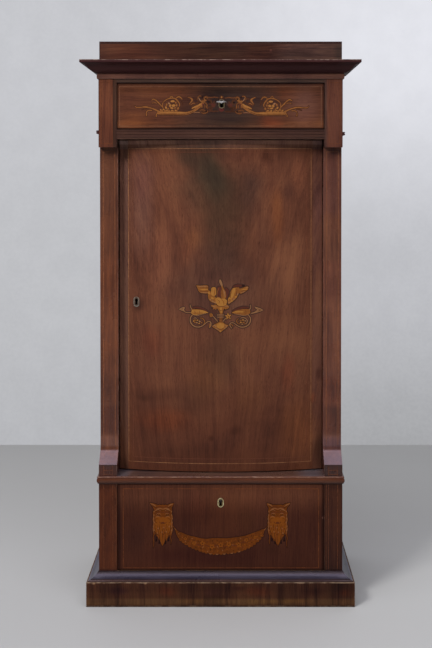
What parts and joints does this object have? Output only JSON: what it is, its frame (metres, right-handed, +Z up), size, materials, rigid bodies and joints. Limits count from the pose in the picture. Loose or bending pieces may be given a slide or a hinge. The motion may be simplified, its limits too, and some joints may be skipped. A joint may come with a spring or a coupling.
{
  "type": "cupboard",
  "caption": "Tall narrow wooden cupboard with a bow-fronted hinged door between a shallow and a deep drawer, inlaid ornament, ogee cornice with low attic, and plinth base.",
  "frame": {"origin": "on the floor, at the centre of the overall footprint", "axes": "+Z up, -Y towards the viewer in front of the door, +X to the right as seen from the front"},
  "size_m": [0.888, 0.4626, 1.801],
  "materials": {
    "mahogany": "polished figured veneer",
    "mahogany_dark": "polished dark moulding",
    "pine": "aged raw softwood",
    "oak": "aged raw oak",
    "brass": "tarnished",
    "iron": "worn"
  },
  "bodies": {
    "carcass": {"plinth_front": "mahogany_dark", "plinth_sides": "mahogany_dark", "plinth_back": "pine", "plinth_blocks": "pine", "base_board": "pine", "base_moulding_front": "mahogany_dark", "base_moulding_sides": "mahogany_dark", "side_panel_left": "mahogany", "side_panel_right": "mahogany", "lower_stile_left": "mahogany", "lower_stile_right": "mahogany", "pilaster_left": "mahogany", "pilaster_right": "mahogany", "frieze_block_left": "mahogany", "frieze_block_right": "mahogany", "ledge_board": "mahogany", "ledge_moulding": "mahogany_dark", "mid_rail": "mahogany", "dust_board": "pine", "frieze_rail": "mahogany", "neck_moulding": "mahogany_dark", "cornice_front": "mahogany_dark", "cornice_sides": "mahogany_dark", "top_board": "pine", "attic_front": "mahogany", "attic_sides": "mahogany", "attic_back": "pine", "attic_lid": "mahogany_dark", "side_beads": "mahogany_dark", "back_boards": "pine", "shelf_lower": "pine", "shelf_upper": "pine", "shelf_cleats": "pine", "drawer_guides": "pine", "frame_pivots": "iron", "strike_plates": "iron", "frame_screws": "iron"},
    "door": {"door_panel": "mahogany", "door_pivots": "iron", "door_lock": "iron", "door_escutcheon": "brass", "door_screws": "iron"},
    "door_lock_bolt": {"door_bolt": "iron"},
    "top_drawer": {"top_drawer_front": "mahogany", "top_drawer_sides": "oak", "top_drawer_back": "oak", "top_drawer_bottom": "oak", "top_drawer_lock": "iron", "top_drawer_escutcheon": "brass", "top_drawer_screws": "iron"},
    "top_drawer_lock_bolt": {"top_drawer_bolt": "iron"},
    "turning_key": {"key": "iron"},
    "lower_drawer": {"lower_drawer_front": "mahogany", "lower_drawer_sides": "oak", "lower_drawer_back": "oak", "lower_drawer_bottom": "oak", "lower_drawer_lock": "iron", "lower_drawer_escutcheon": "brass", "lower_drawer_screws": "iron"},
    "lower_drawer_lock_bolt": {"lower_drawer_bolt": "iron"}
  },
  "joints": [
    {"name": "door_hinge", "type": "hinge", "parent": "carcass", "child": "door", "pos_m": [0.3025, -0.10475, 0.948], "axis": [0, 0, 1], "range_deg": [0, 90]},
    {"name": "door_bolt_throw", "type": "slide", "parent": "door", "child": "door_lock_bolt", "axis": [-0.98, 0.1989, 0], "range_m": [0, 0.01]},
    {"name": "top_drawer_slide", "type": "slide", "parent": "carcass", "child": "top_drawer", "axis": [0, -1, 0], "range_m": [0, 0.3]},
    {"name": "key_turn", "type": "hinge", "parent": "top_drawer", "child": "turning_key", "pos_m": [0.003, -0.17775, 1.605], "axis": [0, 1, 0], "range_deg": [0, 180]},
    {"name": "top_drawer_bolt_throw", "type": "slide", "parent": "top_drawer", "child": "top_drawer_lock_bolt", "axis": [0, 0, 1], "range_m": [0, 0.008]},
    {"name": "lower_drawer_slide", "type": "slide", "parent": "carcass", "child": "lower_drawer", "axis": [0, -1, 0], "range_m": [0, 0.31]},
    {"name": "lower_drawer_bolt_throw", "type": "slide", "parent": "lower_drawer", "child": "lower_drawer_lock_bolt", "axis": [0, 0, 1], "range_m": [0, 0.008]}
  ],
  "couplings": [
    {"joint": "key_turn", "follows": "top_drawer_bolt_throw", "rad_per_m": 392.7}
  ]
}
